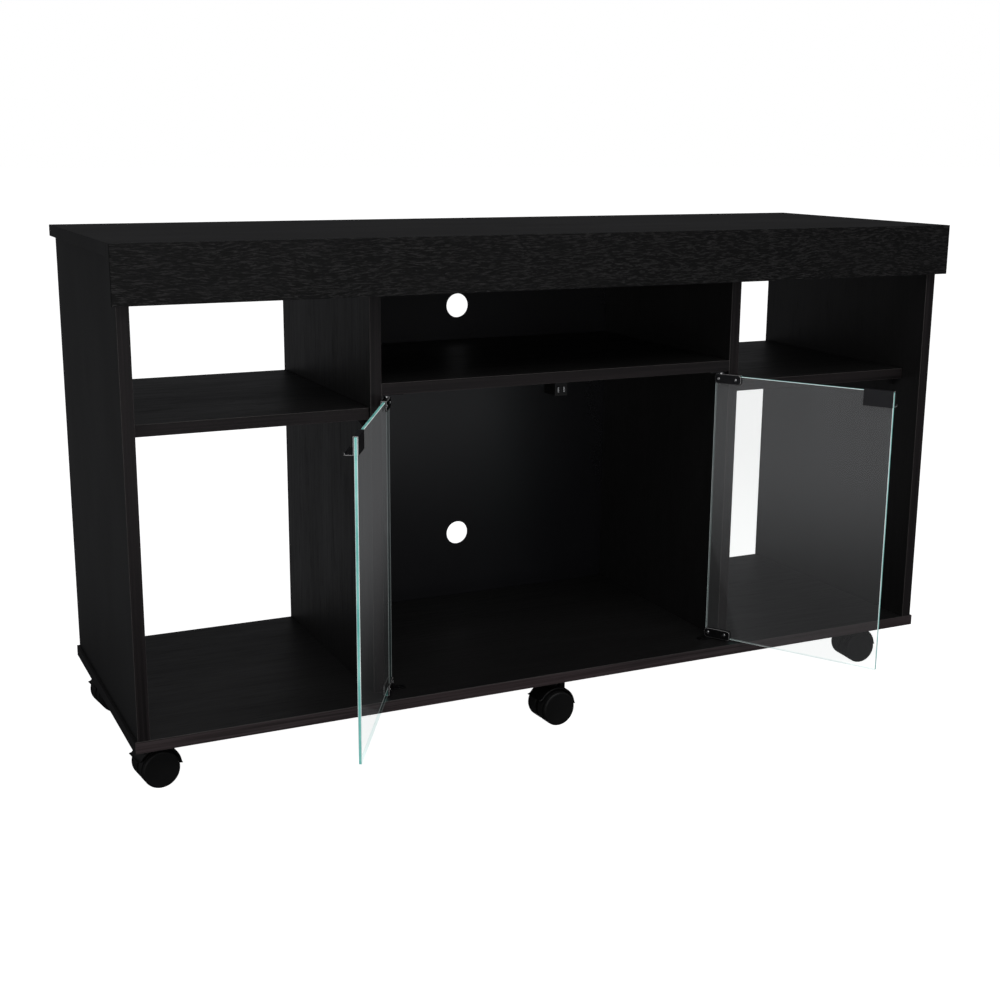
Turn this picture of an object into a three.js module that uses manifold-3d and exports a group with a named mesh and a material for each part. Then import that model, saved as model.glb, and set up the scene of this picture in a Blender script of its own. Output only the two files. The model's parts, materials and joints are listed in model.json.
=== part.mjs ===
// A low media cabinet on six twin-wheel casters: melamine boards, an open bay on each side,
// and between them a niche over a compartment closed by a pair of inset glass doors.
//
// Millimetres, +Z up, +X to the right, -Y to the front. The pieces are laid out from the
// middle of the cabinet (x), the front edges of the side panels (y) and the floor (z).
// At the end the whole model is moved along y, so that its origin is the middle of its box.

import * as THREE from "three";
import { mergeVertices } from "three/addons/utils/BufferGeometryUtils.js";
import Module from "manifold-3d";

const wasm = await Module();
wasm.setup();

// ---------------------------------------------------------------- driving dimensions

// boards
const BOARD = 15; // thickness of every board
const BODY_WIDTH = 1185; // outside the side panels
const BODY_DEPTH = 387; // front to rear edge of the side panels
const BODY_HEIGHT = 610; // underside of the bottom panel to the top face
const FLOOR_GAP = 62; // floor to the underside of the bottom panel
const TOP_OVERHANG = 7.5; // of the top panel and the apron past each side panel
const BOTTOM_OVERHANG = 4; // of the bottom panel past each side panel
const APRON_HEIGHT = 70;
const CENTRE_WIDTH = 523; // between the two partitions
const PARTITION_SETBACK = 34; // partitions and centre shelf behind the side panels' front edges
const CENTRE_SHELF_HEIGHT = 395.5; // bottom panel's top face to the centre shelf's underside
const SIDE_SHELF_HEIGHT = 365; // bottom panel's top face to a side shelf's underside
const SIDE_SHELF_SETBACK = 39; // behind the side panels' front edges
const SIDE_SHELF_REAR_GAP = 3;
const SIDE_SHELF_END_GAP = 0.75; // at each end of a side shelf

// back panel
const BACK_THICKNESS = 3;
const BACK_EDGE_GAP = 2; // back panel short of the bottom panel's underside and of the top face
const CABLE_HOLE_RADIUS = 18.2;
const NICHE_HOLE_HEIGHT = 52; // centre shelf's top face to the middle of the upper cable hole
const COMPARTMENT_HOLE_HEIGHT = 102; // bottom panel's top face to the middle of the lower one

// shelf pins
const PIN_PEG_RADIUS = 2.5;
const PIN_PEG_LENGTH = 8;
const PIN_HOLE_DEPTH = 9;
const PIN_TAB_WIDTH = 9;
const PIN_TAB_HEIGHT = 11;
const PIN_TAB_REACH = 9; // from the wall towards the bay
const PIN_TAB_THICKNESS = 2.4;
const PIN_FRONT_INSET = 23; // a shelf's front edge to its front pins
const PIN_REAR_INSET = 45; // a shelf's rear edge to its rear pins

// glass doors
const GLASS = 4; // thickness
const DOOR_GAP_HINGE = 2.3; // closed door's hinge edge to the partition
const DOOR_GAP_MEETING = 2.4; // between the two closed doors
const DOOR_GAP_BELOW = 3.7;
const DOOR_GAP_ABOVE = 5.6;
const DOOR_SETBACK = 5.6; // middle of the closed glass behind the partitions' front edges
const PIVOT_INSET = 7; // pivot line from the glass's hinge edge
const RIGHT_DOOR_ANGLE = 120.2; // degrees open from closed
const LEFT_DOOR_ANGLE = 119.2; // degrees open from closed

// pivot hinges: a clamp on the glass carries a pin that turns in a socket on the board
const CLAMP_LENGTH = 39.5;
const CLAMP_OVERHANG = 0.5; // of the clamp past the glass's hinge edge
const CLAMP_HEIGHT = 13.5;
const CLAMP_WALL = 1.2;
const CLAMP_CAP = 1.5;
const HINGE_PIN_RADIUS = 2;
const HINGE_PIN_REACH = 5; // of the pin into the board
const SHOULDER_RADIUS = 4; // bearing shoulder round the pin, on the clamp
const SOCKET_BORE_CLEARANCE = 0.25; // radial
const SOCKET_RADIUS = 4.5;
const SOCKET_DEPTH = 8; // of the socket into the board
const SOCKET_FLANGE = 1.2; // thickness
const SOCKET_FLANGE_WIDTH = 12;
const SOCKET_FLANGE_LENGTH = 27;
const SOCKET_FLANGE_CORNER = 3;

// strike clips, one over the free top corner of each door, each with a finger lip
const CLIP_LENGTH = 41;
const CLIP_HEIGHT = 22;
const CLIP_SHEET = 1; // thickness
const LIP_REACH = 10;
const LIP_UPTURN = 3;

// magnetic catch under the middle of the centre shelf
const CATCH_WIDTH = 18.6;
const CATCH_HEIGHT = 19.5;
const CATCH_LENGTH = 31.5;
const CATCH_SETBACK = 11; // behind the centre shelf's front edge
const POLE_WIDTH = 2;
const POLE_HEIGHT = 7.5;
const POLE_LENGTH = 12;
const POLE_PROUD = 0.3; // of the housing's front face
const POLE_SPACING = 8.6;
const POLE_DROP = 7.5; // shelf's underside to the top of a pole

// casters
const WHEEL_RADIUS = 24;
const WHEEL_WIDTH = 20;
const WHEEL_GAP = 7; // between the two wheels of a caster
const WHEEL_EDGE = 2.5; // rounding at the rim
const WHEEL_BORE_DEPTH = 15;
const AXLE_RADIUS = 2.5;
const AXLE_CLEARANCE = 0.25; // radial
const CASTER_TRAIL = 16.5; // swivel axis to the axle
const HOOD_WIDTH = 33; // narrower than the pair of wheels
const HOOD_CLEARANCE = 1.5; // round the wheels
const HOOD_SHELL = 3.3; // thickness
const HOOD_FRONT_FLICK = 1.5; // how far the pointed ends turn out past the shell
const HOOD_REAR_FLICK = 3.7;
const HOOD_FRONT_ANGLE = 1; // where the hood starts above the axle's level, on the stem's side
const HOOD_REAR_ANGLE = 154; // where it ends, on the trailing side
const HOOD_FLARE_ANGLE = 9; // how far before each end the shell starts to turn out
const HOOD_WEB = 6; // thickness of the web between the wheels
const HOOD_HUB_RADIUS = 7;
const NECK_RADIUS = 5;
const STEM_RADIUS = 3;
const STEM_CLEARANCE = 0.3; // radial, and at its end
const STEM_LENGTH = 9.5;
const PLATE_SIZE = 38; // square mounting plate
const PLATE_THICKNESS = 2;
const PLATE_CORNER = 5;
const PLATE_HOLE_SPACING = 26;
const PLATE_HOLE_RADIUS = 2.2;
const CASTER_SIDE_INSET = 47; // side panel's outer face to a corner caster's swivel axis
const CASTER_FRONT_INSET = 52.5; // side panels' front edges to the front corner casters
const CASTER_REAR_INSET = 60; // side panels' rear edges to the rear casters
const CENTRE_CASTER_FRONT_INSET = 25;
const CENTRE_CASTER_OFFSET = -2.5; // from the middle
const CASTERS = [
  // column: -1 left, 0 centre, 1 right; turn: degrees that the caster has swivelled
  { place: "front_left", column: -1, rear: false, turn: 6.5 },
  { place: "front_centre", column: 0, rear: false, turn: 3.5 },
  { place: "front_right", column: 1, rear: false, turn: -6.5 },
  { place: "rear_left", column: -1, rear: true, turn: 8 },
  { place: "rear_centre", column: 0, rear: true, turn: 14 },
  { place: "rear_right", column: 1, rear: true, turn: -9 },
];

// fits and facets
const SEAT_GAP = 0.3; // between fitted pieces
const WHEEL_SIDES = 24;
const ROUND_SIDES = 16; // facets of pins, bores, necks and axles
const SCREW_HOLE_SIDES = 8;
const CABLE_HOLE_SIDES = 32;
const HOOD_STEPS = 10; // facets along the hood's arch
const PLATE_CORNER_STEPS = 3; // facets of a plate's rounded corner
const CUT_MARGIN = 1; // of a cutting solid past the face that it opens
const GRID = 1 / 64; // boards meet face to face on this grid

// ---------------------------------------------------------------- levels and places

const onGrid = (value) => Math.round(value / GRID) * GRID;

const bottomZ = onGrid(FLOOR_GAP); // underside of the bottom panel
const baseZ = onGrid(FLOOR_GAP + BOARD); // its top face
const topZ = onGrid(FLOOR_GAP + BODY_HEIGHT); // top face of the cabinet
const ceilingZ = onGrid(FLOOR_GAP + BODY_HEIGHT - BOARD); // underside of the top panel
const centreShelfZ = onGrid(baseZ + CENTRE_SHELF_HEIGHT); // its underside
const sideShelfZ = onGrid(baseZ + SIDE_SHELF_HEIGHT);

const rearY = onGrid(BODY_DEPTH);
const partitionY = onGrid(PARTITION_SETBACK);
const doorY = partitionY + DOOR_SETBACK; // middle of the closed glass, and the pivot lines

const sideOuterX = onGrid(BODY_WIDTH / 2);
const sideInnerX = onGrid(BODY_WIDTH / 2 - BOARD);
const partitionInnerX = onGrid(CENTRE_WIDTH / 2);
const partitionOuterX = onGrid(CENTRE_WIDTH / 2 + BOARD);
const topEndX = onGrid(BODY_WIDTH / 2 + TOP_OVERHANG);
const bottomEndX = onGrid(BODY_WIDTH / 2 + BOTTOM_OVERHANG);

const glassWidth = partitionInnerX - DOOR_GAP_HINGE - DOOR_GAP_MEETING / 2;
const glassLowZ = baseZ + DOOR_GAP_BELOW;
const glassHighZ = centreShelfZ - DOOR_GAP_ABOVE;
const pivotX = partitionInnerX - DOOR_GAP_HINGE - PIVOT_INSET;

// ---------------------------------------------------------------- materials

const finish = (color, roughness, metalness, more = {}) =>
  new THREE.MeshStandardMaterial({ color, roughness, metalness, ...more });

const blackWoodgrain = finish(0x1b191a, 0.55, 0);
const blackHardboard = finish(0x141314, 0.5, 0);
const clearGlass = finish(0xdff2ee, 0.05, 0, { transparent: true, opacity: 0.35 });
const blackPlastic = finish(0x0c0c0d, 0.4, 0);
const blackSteel = finish(0x0e0e10, 0.35, 0.6);
const brightSteel = finish(0xb9bcc0, 0.3, 1);
const greyTread = finish(0x17171a, 0.6, 0);

// ---------------------------------------------------------------- geometry helpers

const radians = THREE.MathUtils.degToRad;

function toSolid(geometry) {
  const bare = geometry.clone();
  bare.deleteAttribute("normal");
  bare.deleteAttribute("uv");
  const merged = mergeVertices(bare, 1e-4);
  return new wasm.Manifold(
    new wasm.Mesh({
      numProp: 3,
      vertProperties: merged.attributes.position.array,
      triVerts: new Uint32Array(merged.index.array),
    }),
  );
}

function toGeometry(solid) {
  const mesh = solid.getMesh();
  const geometry = new THREE.BufferGeometry();
  geometry.setAttribute("position", new THREE.BufferAttribute(mesh.vertProperties, 3));
  geometry.setIndex(new THREE.BufferAttribute(mesh.triVerts, 1));
  geometry.computeVertexNormals();
  return geometry;
}

const join = (first, ...others) =>
  toGeometry(others.reduce((sum, other) => sum.add(toSolid(other)), toSolid(first)));

const cut = (first, ...others) =>
  toGeometry(others.reduce((rest, other) => rest.subtract(toSolid(other)), toSolid(first)));

/** A block between two corners. */
function block([x0, x1], [y0, y1], [z0, z1]) {
  return new THREE.BoxGeometry(x1 - x0, y1 - y0, z1 - z0).translate(
    (x0 + x1) / 2,
    (y0 + y1) / 2,
    (z0 + z1) / 2,
  );
}

/** A round bar along z. */
function barZ(radius, x, y, z0, z1, sides = ROUND_SIDES) {
  return new THREE.CylinderGeometry(radius, radius, z1 - z0, sides)
    .rotateX(Math.PI / 2)
    .translate(x, y, (z0 + z1) / 2);
}

/** A round bar along y. */
function barY(radius, x, z, y0, y1, sides = ROUND_SIDES) {
  return new THREE.CylinderGeometry(radius, radius, y1 - y0, sides).translate(
    x,
    (y0 + y1) / 2,
    z,
  );
}

/** A round bar along x. */
function barX(radius, y, z, x0, x1, sides = ROUND_SIDES) {
  return new THREE.CylinderGeometry(radius, radius, x1 - x0, sides)
    .rotateZ(Math.PI / 2)
    .translate((x0 + x1) / 2, y, z);
}

const flat = (points) => new THREE.Shape(points.map(([a, b]) => new THREE.Vector2(a, b)));

const extrude = (shape, depth, curveSegments = 8) =>
  new THREE.ExtrudeGeometry(shape, { depth, bevelEnabled: false, curveSegments });

/** An outline in the y-z plane, drawn out along x. */
function alongX(shape, x0, x1) {
  const turn = new THREE.Matrix4().set(0, 0, 1, x0, 1, 0, 0, 0, 0, 1, 0, 0, 0, 0, 0, 1);
  return extrude(shape, x1 - x0).applyMatrix4(turn);
}

/** An outline in the x-z plane, drawn out along y. */
function alongY(shape, y0, y1, curveSegments) {
  return extrude(shape, y1 - y0, curveSegments)
    .rotateX(Math.PI / 2)
    .translate(0, y1, 0);
}

/** A rectangle with rounded corners in the x-y plane, drawn out along z. */
function roundedPlate([x0, x1], [y0, y1], [z0, z1], corner, segments) {
  const shape = new THREE.Shape();
  shape.absarc(x1 - corner, y0 + corner, corner, -Math.PI / 2, 0);
  shape.absarc(x1 - corner, y1 - corner, corner, 0, Math.PI / 2);
  shape.absarc(x0 + corner, y1 - corner, corner, Math.PI / 2, Math.PI);
  shape.absarc(x0 + corner, y0 + corner, corner, Math.PI, 1.5 * Math.PI);
  return extrude(shape, z1 - z0, segments).translate(0, 0, z0);
}

function part(name, geometry, material, parent) {
  const mesh = new THREE.Mesh(geometry, material);
  mesh.name = name;
  parent.add(mesh);
  return mesh;
}

/** A board between two corners, with any bores already placed in the same frame. */
function board(name, x, y, z, parent, bores = [], material = blackWoodgrain) {
  const corner = new THREE.Vector3(x[0], y[0], z[0]);
  const blank = new THREE.BoxGeometry(x[1] - x[0], y[1] - y[0], z[1] - z[0]).translate(
    (x[1] - x[0]) / 2,
    (y[1] - y[0]) / 2,
    (z[1] - z[0]) / 2,
  );
  const local = bores.map((bore) => bore.clone().translate(-corner.x, -corner.y, -corner.z));
  const mesh = part(name, bores.length ? cut(blank, ...local) : blank, material, parent);
  mesh.position.copy(corner);
  return mesh;
}

const span = (a, b) => (a < b ? [a, b] : [b, a]);

// ---------------------------------------------------------------- pieces that the boards hold

// Each shelf pin: the wall it is in, that wall's face, the way from there into the wall, and y.
const shelfPins = [-1, 1].flatMap((side) =>
  ["front", "rear"].flatMap((row) => {
    const bay = side < 0 ? "left" : "right";
    const frontY = SIDE_SHELF_SETBACK + PIN_FRONT_INSET;
    const y = row === "front" ? frontY : rearY - SIDE_SHELF_REAR_GAP - PIN_REAR_INSET;
    const outer = { wall: "panel", x: side * sideInnerX, into: side };
    const inner = { wall: "partition", x: side * partitionOuterX, into: -side };
    return [
      { name: `${bay}_shelf_pin_${row}_outer`, side, y, ...outer },
      { name: `${bay}_shelf_pin_${row}_inner`, side, y, ...inner },
    ];
  }),
);

const pinTopZ = sideShelfZ - SEAT_GAP;
const pinPegZ = pinTopZ - PIN_TAB_HEIGHT / 2;

const pinBores = (wall, side) =>
  shelfPins
    .filter((pin) => pin.wall === wall && pin.side === side)
    .map((pin) => {
      const ends = span(pin.x - pin.into * CUT_MARGIN, pin.x + pin.into * PIN_HOLE_DEPTH);
      return barX(PIN_PEG_RADIUS + SEAT_GAP, pin.y, pinPegZ, ...ends);
    });

// Sockets of the door pivots: up into the centre shelf, down into the bottom panel.
const socketBores = (faceZ, into) =>
  [-1, 1].map((side) =>
    barZ(
      SOCKET_RADIUS + SEAT_GAP,
      side * pivotX,
      doorY,
      ...span(faceZ - into * CUT_MARGIN, faceZ + into * (SOCKET_DEPTH + SEAT_GAP)),
    ),
  );

// ---------------------------------------------------------------- boards

function addBoards(parent) {
  const carcassZ = [baseZ, ceilingZ];

  board("bottom_panel", [-bottomEndX, bottomEndX], [0, rearY], [bottomZ, baseZ], parent,
    socketBores(baseZ, -1));
  board("top_panel", [-topEndX, topEndX], [0, rearY], [ceilingZ, topZ], parent);
  board("front_apron", [-topEndX, topEndX], [-onGrid(BOARD), 0],
    [onGrid(topZ - APRON_HEIGHT), topZ], parent);

  for (const [side, label] of [[-1, "left"], [1, "right"]]) {
    board(`${label}_side_panel`, span(side * sideInnerX, side * sideOuterX), [0, rearY],
      carcassZ, parent, pinBores("panel", side));
    board(`${label}_partition`, span(side * partitionInnerX, side * partitionOuterX),
      [partitionY, rearY], carcassZ, parent, pinBores("partition", side));
    board(`${label}_shelf`,
      span(side * onGrid(partitionOuterX + SIDE_SHELF_END_GAP),
        side * onGrid(sideInnerX - SIDE_SHELF_END_GAP)),
      [onGrid(SIDE_SHELF_SETBACK), onGrid(rearY - SIDE_SHELF_REAR_GAP)],
      [sideShelfZ, onGrid(sideShelfZ + BOARD)], parent);
  }

  board("centre_shelf", [-partitionInnerX, partitionInnerX], [partitionY, rearY],
    [centreShelfZ, onGrid(centreShelfZ + BOARD)], parent, socketBores(centreShelfZ, 1));

  const holeLevels = [centreShelfZ + BOARD + NICHE_HOLE_HEIGHT, baseZ + COMPARTMENT_HOLE_HEIGHT];
  const backY = [rearY, onGrid(rearY + BACK_THICKNESS)];
  board("back_panel", [-partitionOuterX, partitionOuterX], backY,
    [onGrid(bottomZ + BACK_EDGE_GAP), onGrid(topZ - BACK_EDGE_GAP)], parent,
    holeLevels.map((z) =>
      barY(CABLE_HOLE_RADIUS, 0, z, backY[0] - CUT_MARGIN, backY[1] + CUT_MARGIN, CABLE_HOLE_SIDES),
    ),
    blackHardboard);
}

/** A peg in the wall and a braced tab under the shelf. */
function addShelfPin(pin, parent) {
  const inward = -pin.into;
  const reach = inward * PIN_TAB_REACH;
  const thick = inward * PIN_TAB_THICKNESS;
  const brace = [
    [0, 0],
    [0, -PIN_TAB_HEIGHT],
    [thick, -PIN_TAB_HEIGHT],
    [reach, -PIN_TAB_THICKNESS],
    [reach, 0],
  ];
  const outline = inward > 0 ? brace : brace.reverse();
  const tab = alongY(flat(outline), -PIN_TAB_WIDTH / 2, PIN_TAB_WIDTH / 2).translate(
    pin.x + inward * SEAT_GAP,
    pin.y,
    pinTopZ,
  );
  const peg = barX(
    PIN_PEG_RADIUS,
    pin.y,
    pinPegZ,
    ...span(pin.x + inward * (SEAT_GAP + PIN_TAB_THICKNESS / 2), pin.x - inward * PIN_PEG_LENGTH),
  );
  part(pin.name, join(tab, peg), blackPlastic, parent);
}

/** Housing with two slots, and a steel pole in each. */
function addCatch(parent) {
  const front = partitionY + CATCH_SETBACK;
  const poleTop = centreShelfZ - POLE_DROP;
  const slot = (x) =>
    block(
      [x - POLE_WIDTH / 2 - SEAT_GAP, x + POLE_WIDTH / 2 + SEAT_GAP],
      [front - CUT_MARGIN, front - POLE_PROUD + POLE_LENGTH + SEAT_GAP],
      [poleTop - POLE_HEIGHT - SEAT_GAP, poleTop + SEAT_GAP],
    );
  const poleX = [-POLE_SPACING / 2, POLE_SPACING / 2];
  const housing = block(
    [-CATCH_WIDTH / 2, CATCH_WIDTH / 2],
    [front, front + CATCH_LENGTH],
    [centreShelfZ - CATCH_HEIGHT, centreShelfZ - SEAT_GAP],
  );
  part("catch_housing", cut(housing, ...poleX.map(slot)), blackPlastic, parent);
  poleX.forEach((x, i) => {
    const pole = block(
      [x - POLE_WIDTH / 2, x + POLE_WIDTH / 2],
      [front - POLE_PROUD, front - POLE_PROUD + POLE_LENGTH],
      [poleTop - POLE_HEIGHT, poleTop],
    );
    part(`catch_pole_${i ? "right" : "left"}`, pole, brightSteel, parent);
  });
}

/** Flanged socket for a pivot pin; into is 1 up into a board and -1 down into it. */
function addHingeSocket(name, side, faceZ, into, parent) {
  const face = faceZ - into * SEAT_GAP;
  const flange = roundedPlate(
    span(
      side * (pivotX + SOCKET_FLANGE_WIDTH / 2),
      side * (pivotX + SOCKET_FLANGE_WIDTH / 2 - SOCKET_FLANGE_LENGTH),
    ),
    [doorY - SOCKET_FLANGE_WIDTH / 2, doorY + SOCKET_FLANGE_WIDTH / 2],
    span(face, face - into * SOCKET_FLANGE),
    SOCKET_FLANGE_CORNER,
    PLATE_CORNER_STEPS,
  );
  const bush = barZ(SOCKET_RADIUS, side * pivotX, doorY,
    ...span(face - into * SOCKET_FLANGE / 2, faceZ + into * SOCKET_DEPTH));
  const bore = barZ(HINGE_PIN_RADIUS + SOCKET_BORE_CLEARANCE, side * pivotX, doorY,
    ...span(face - into * 2 * SOCKET_FLANGE, faceZ + into * (HINGE_PIN_REACH + 2 * SEAT_GAP)));
  part(name, cut(join(flange, bush), bore), blackSteel, parent);
}

// ---------------------------------------------------------------- doors

/**
 * A glass door in the frame of its pivot line, drawn closed. side is 1 for the right-hand
 * door, whose glass runs to -x from the pivot, and -1 for the left-hand one.
 */
function makeDoor(side, label, openAngle) {
  const door = new THREE.Group();
  door.position.set(side * pivotX, doorY, 0);
  door.rotation.z = radians(side * openAngle);

  // x of a point at a distance along the glass from its hinge edge
  const at = (along) => side * (PIVOT_INSET - along);

  part(`${label}_door_glass`,
    block(span(at(0), at(glassWidth)), [-GLASS / 2, GLASS / 2], [glassLowZ, glassHighZ]),
    clearGlass, door);

  for (const [end, edgeZ, out, boardFace] of [
    ["lower", glassLowZ, -1, baseZ],
    ["upper", glassHighZ, 1, centreShelfZ],
  ]) {
    const inner = GLASS / 2 + SEAT_GAP;
    const outer = inner + CLAMP_WALL;
    const channelZ = edgeZ + out * SEAT_GAP;
    const capZ = channelZ + out * CLAMP_CAP;
    const lipZ = capZ - out * CLAMP_HEIGHT;
    const section = flat([
      [-outer, lipZ],
      [-inner, lipZ],
      [-inner, channelZ],
      [inner, channelZ],
      [inner, lipZ],
      [outer, lipZ],
      [outer, capZ],
      [-outer, capZ],
    ]);
    const channel = alongX(section, ...span(at(-CLAMP_OVERHANG), at(CLAMP_LENGTH - CLAMP_OVERHANG)));
    const flangeZ = boardFace - out * (SEAT_GAP + SOCKET_FLANGE);
    const shoulder = barZ(SHOULDER_RADIUS, 0, 0,
      ...span(capZ - out * CLAMP_CAP / 2, flangeZ - out * SEAT_GAP));
    const pin = barZ(HINGE_PIN_RADIUS, 0, 0,
      ...span(capZ - out * CLAMP_CAP / 2, boardFace + out * HINGE_PIN_REACH));
    part(`${label}_door_${end}_clamp`, join(channel, shoulder, pin), blackSteel, door);
  }

  // The clip's section: +y is the door's inner face, which meets the catch when it is closed.
  const inner = GLASS / 2 + SEAT_GAP;
  const outer = inner + CLIP_SHEET;
  const bridgeZ = glassHighZ + SEAT_GAP;
  const capZ = bridgeZ + CLIP_SHEET;
  const lowZ = capZ - CLIP_HEIGHT;
  const clip = flat([
    [outer, lowZ],
    [outer, capZ],
    [-outer, capZ],
    [-outer, lowZ + CLIP_SHEET],
    [-outer - LIP_REACH + CLIP_SHEET, lowZ + CLIP_SHEET],
    [-outer - LIP_REACH + CLIP_SHEET, lowZ + LIP_UPTURN],
    [-outer - LIP_REACH, lowZ + LIP_UPTURN],
    [-outer - LIP_REACH, lowZ],
    [-inner, lowZ],
    [-inner, bridgeZ],
    [inner, bridgeZ],
    [inner, lowZ],
  ]);
  part(`${label}_strike_clip`, alongX(clip, ...span(at(glassWidth - CLIP_LENGTH), at(glassWidth))),
    blackSteel, door);
  return door;
}

// ---------------------------------------------------------------- casters

/** A wheel round the y axis, with its blind bore at y = 0 and its plain face at y = WHEEL_WIDTH. */
function wheelGeometry() {
  const corner = WHEEL_RADIUS / Math.cos(Math.PI / WHEEL_SIDES); // the flats touch the floor
  const bore = AXLE_RADIUS + AXLE_CLEARANCE;
  const edge = WHEEL_EDGE * (1 - Math.SQRT1_2);
  const profile = [
    [0, WHEEL_BORE_DEPTH],
    [bore, WHEEL_BORE_DEPTH],
    [bore, 0],
    [corner, 0],
    [corner, WHEEL_WIDTH - WHEEL_EDGE],
    [corner - edge, WHEEL_WIDTH - edge],
    [corner - WHEEL_EDGE, WHEEL_WIDTH],
    [0, WHEEL_WIDTH],
  ].map(([radius, y]) => new THREE.Vector2(radius, y));
  return new THREE.LatheGeometry(profile, WHEEL_SIDES, Math.PI / WHEEL_SIDES);
}

/** The swivelling hood with its web, neck and axle; the swivel axis is z, and it trails to -x. */
function hoodGeometry() {
  const axleX = -CASTER_TRAIL;
  const axleZ = WHEEL_RADIUS;
  const inner = WHEEL_RADIUS + HOOD_CLEARANCE;
  const outer = inner + HOOD_SHELL;
  const start = radians(HOOD_FRONT_ANGLE);
  const end = radians(HOOD_REAR_ANGLE);
  const flare = radians(HOOD_FLARE_ANGLE);
  const polar = (radius, angle) => [
    axleX + radius * Math.cos(angle),
    axleZ + radius * Math.sin(angle),
  ];

  const arch = new THREE.Shape();
  arch.moveTo(...polar(outer + HOOD_FRONT_FLICK, start));
  arch.lineTo(...polar(outer, start + flare));
  arch.absarc(axleX, axleZ, outer, start + flare, end - flare, false);
  arch.lineTo(...polar(outer + HOOD_REAR_FLICK, end));
  arch.absarc(axleX, axleZ, inner - SEAT_GAP, end, start, true);

  const web = new THREE.Shape();
  web.moveTo(axleX, axleZ);
  web.lineTo(...polar(inner + HOOD_SHELL / 2, start));
  web.absarc(axleX, axleZ, inner + HOOD_SHELL / 2, start, end, false);

  const shell = alongY(arch, -HOOD_WIDTH / 2, HOOD_WIDTH / 2, HOOD_STEPS);
  const middle = alongY(web, -HOOD_WEB / 2, HOOD_WEB / 2, HOOD_STEPS);
  const hub = barY(HOOD_HUB_RADIUS, axleX, axleZ, -HOOD_WEB / 2, HOOD_WEB / 2);
  const neckTop = FLOOR_GAP - PLATE_THICKNESS - SEAT_GAP;
  const neck = barZ(NECK_RADIUS, 0, 0, axleZ + inner / 2, neckTop);
  const wheelSpace = [-1, 1].map((side) =>
    barY(inner, axleX, axleZ, ...span(side * HOOD_WEB / 2, side * HOOD_WIDTH), WHEEL_SIDES),
  );
  const stemBore = barZ(STEM_RADIUS + STEM_CLEARANCE, 0, 0,
    neckTop - STEM_LENGTH - STEM_CLEARANCE, neckTop + CUT_MARGIN);
  const reach = WHEEL_GAP / 2 + WHEEL_BORE_DEPTH - 2 * SEAT_GAP;
  const axle = barY(AXLE_RADIUS, axleX, axleZ, -reach, reach);
  return join(cut(join(shell, middle, hub, neck), ...wheelSpace, stemBore), axle);
}

/** Square plate under the bottom panel, with four screw holes and the swivel stem. */
function mountGeometry() {
  const half = PLATE_SIZE / 2;
  const low = FLOOR_GAP - PLATE_THICKNESS;
  const plate = roundedPlate([-half, half], [-half, half], [low, FLOOR_GAP], PLATE_CORNER,
    PLATE_CORNER_STEPS);
  const stem = barZ(STEM_RADIUS, 0, 0, low - SEAT_GAP - STEM_LENGTH, low + PLATE_THICKNESS / 2);
  const holes = [-1, 1].flatMap((i) =>
    [-1, 1].map((j) =>
      barZ(PLATE_HOLE_RADIUS, (i * PLATE_HOLE_SPACING) / 2, (j * PLATE_HOLE_SPACING) / 2,
        low - CUT_MARGIN, FLOOR_GAP + CUT_MARGIN, SCREW_HOLE_SIDES),
    ),
  );
  return join(cut(plate, ...holes), stem);
}

const casterX = (column) =>
  column ? column * (sideOuterX - CASTER_SIDE_INSET) : CENTRE_CASTER_OFFSET;

function casterY({ column, rear }) {
  if (rear) return rearY - CASTER_REAR_INSET;
  return column ? CASTER_FRONT_INSET : CENTRE_CASTER_FRONT_INSET;
}

function makeCaster(spec, shapes) {
  const caster = new THREE.Group();
  caster.position.set(casterX(spec.column), casterY(spec), 0);
  part(`${spec.place}_caster_mount`, shapes.mount, blackSteel, caster);

  const swivel = new THREE.Group();
  swivel.rotation.z = radians(spec.turn);
  caster.add(swivel);
  part(`${spec.place}_caster_hood`, shapes.hood, blackPlastic, swivel);
  for (const [hand, label] of [[-1, "near"], [1, "far"]]) {
    const wheel = part(`${spec.place}_${label}_wheel`, shapes.wheel, greyTread, swivel);
    wheel.position.set(-CASTER_TRAIL, (hand * WHEEL_GAP) / 2, WHEEL_RADIUS);
    if (hand < 0) wheel.rotation.z = Math.PI;
  }
  return caster;
}

// ---------------------------------------------------------------- assembly

const cabinet = new THREE.Group();
addBoards(cabinet);
shelfPins.forEach((pin) => addShelfPin(pin, cabinet));
addCatch(cabinet);
for (const [side, label] of [[-1, "left"], [1, "right"]]) {
  addHingeSocket(`${label}_door_lower_socket`, side, baseZ, -1, cabinet);
  addHingeSocket(`${label}_door_upper_socket`, side, centreShelfZ, 1, cabinet);
}
cabinet.add(makeDoor(-1, "left", LEFT_DOOR_ANGLE));
cabinet.add(makeDoor(1, "right", RIGHT_DOOR_ANGLE));

const casterShapes = {
  wheel: wheelGeometry(),
  hood: hoodGeometry(),
  mount: mountGeometry(),
};
CASTERS.forEach((spec) => cabinet.add(makeCaster(spec, casterShapes)));

const box = new THREE.Box3().setFromObject(cabinet, true);
cabinet.position.y = -(box.min.y + box.max.y) / 2;

const group = new THREE.Group();
group.add(cabinet);

export default group;
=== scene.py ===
import json
import math

import bmesh
import bpy
from mathutils import Matrix, Vector
from mathutils.geometry import tessellate_polygon


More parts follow.
